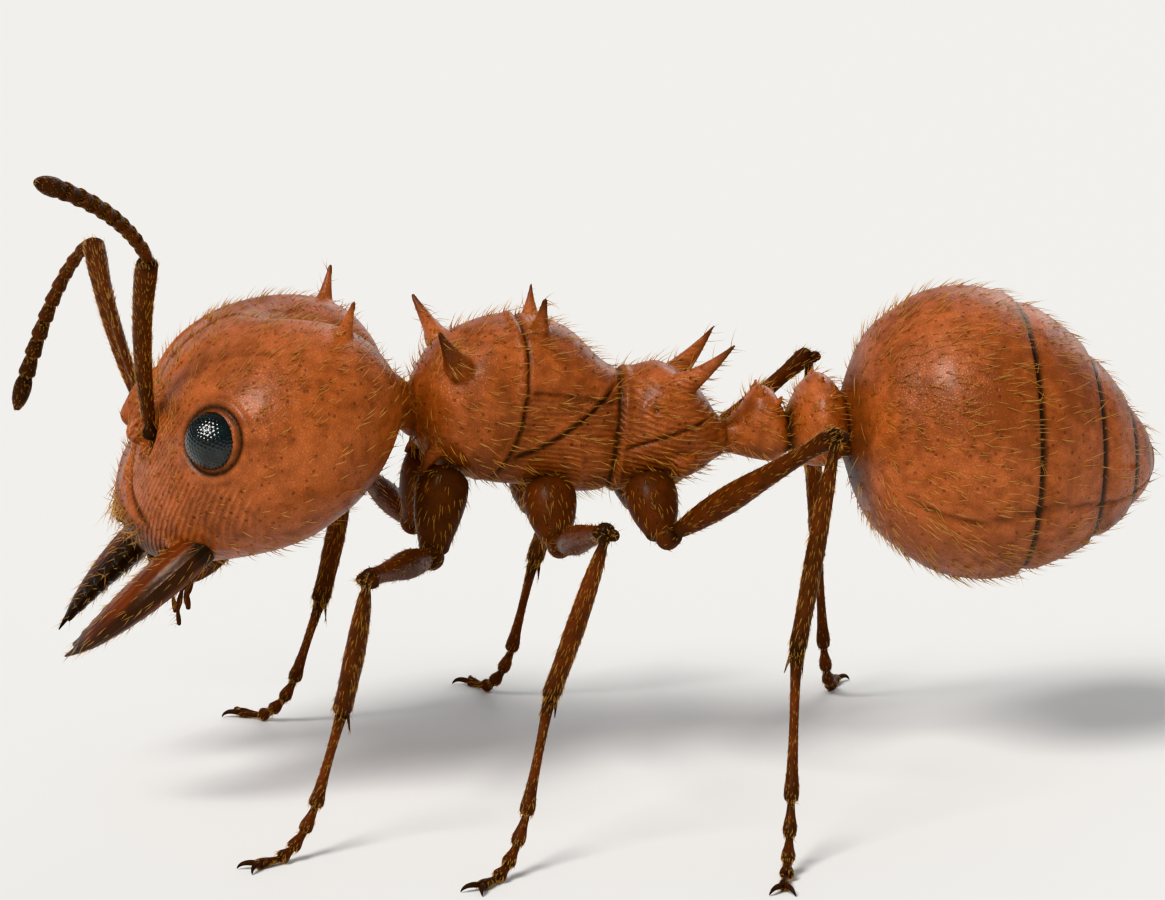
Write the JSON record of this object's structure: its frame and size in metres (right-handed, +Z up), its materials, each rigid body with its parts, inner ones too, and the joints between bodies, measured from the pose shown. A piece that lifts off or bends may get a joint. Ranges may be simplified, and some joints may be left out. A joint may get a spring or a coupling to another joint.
{
  "type": "leafcutter ant",
  "caption": "Life-size large worker leafcutter ant standing still on its feet, with a heart-shaped head, toothed jaws, spined trunk and smooth gaster.",
  "frame": {"origin": "on the floor, under the middle of the ant's bounding box", "axes": "+Z up; the head points along -X and the tail along +X; the ant's left side is towards -Y"},
  "size_m": [0.0158, 0.0112, 0.0095],
  "materials": {
    "cuticle": "reddish-brown cuticle, finely wrinkled and softly glossy, darker at the seams and spine tips",
    "limb": "brown cuticle of legs and feelers, darker than the trunk, with fine bristles",
    "jaw": "dark reddish-brown polished jaw, nearly black on the teeth",
    "eye": "glossy near-black compound eye of fine facets"
  },
  "bodies": {
    "root": {"head": "cuticle", "eye_left": "eye", "eye_right": "eye", "mandible_left": "jaw", "mandible_right": "jaw", "mouthparts": "jaw", "antenna_left_scape": "limb", "antenna_left_funiculus_1": "limb", "antenna_left_funiculus_2": "limb", "antenna_right_scape": "limb", "antenna_right_funiculus_1": "limb", "antenna_right_funiculus_2": "limb", "prothorax": "cuticle", "mesothorax": "cuticle", "propodeum": "cuticle", "petiole": "cuticle", "postpetiole": "cuticle", "gaster_1": "cuticle", "gaster_2": "cuticle", "gaster_3": "cuticle", "gaster_4": "cuticle", "leg_fore_left_coxa": "limb", "leg_fore_left_femur": "limb", "leg_fore_left_tibia": "limb", "leg_fore_left_basitarsus": "limb", "leg_fore_left_tarsus": "limb", "leg_fore_right_coxa": "limb", "leg_fore_right_femur": "limb", "leg_fore_right_tibia": "limb", "leg_fore_right_basitarsus": "limb", "leg_fore_right_tarsus": "limb", "leg_mid_left_coxa": "limb", "leg_mid_left_femur": "limb", "leg_mid_left_tibia": "limb", "leg_mid_left_basitarsus": "limb", "leg_mid_left_tarsus": "limb", "leg_mid_right_coxa": "limb", "leg_mid_right_femur": "limb", "leg_mid_right_tibia": "limb", "leg_mid_right_basitarsus": "limb", "leg_mid_right_tarsus": "limb", "leg_hind_left_coxa": "limb", "leg_hind_left_femur": "limb", "leg_hind_left_tibia": "limb", "leg_hind_left_basitarsus": "limb", "leg_hind_left_tarsus": "limb", "leg_hind_right_coxa": "limb", "leg_hind_right_femur": "limb", "leg_hind_right_tibia": "limb", "leg_hind_right_basitarsus": "limb", "leg_hind_right_tarsus": "limb"}
  },
  "joints": []
}
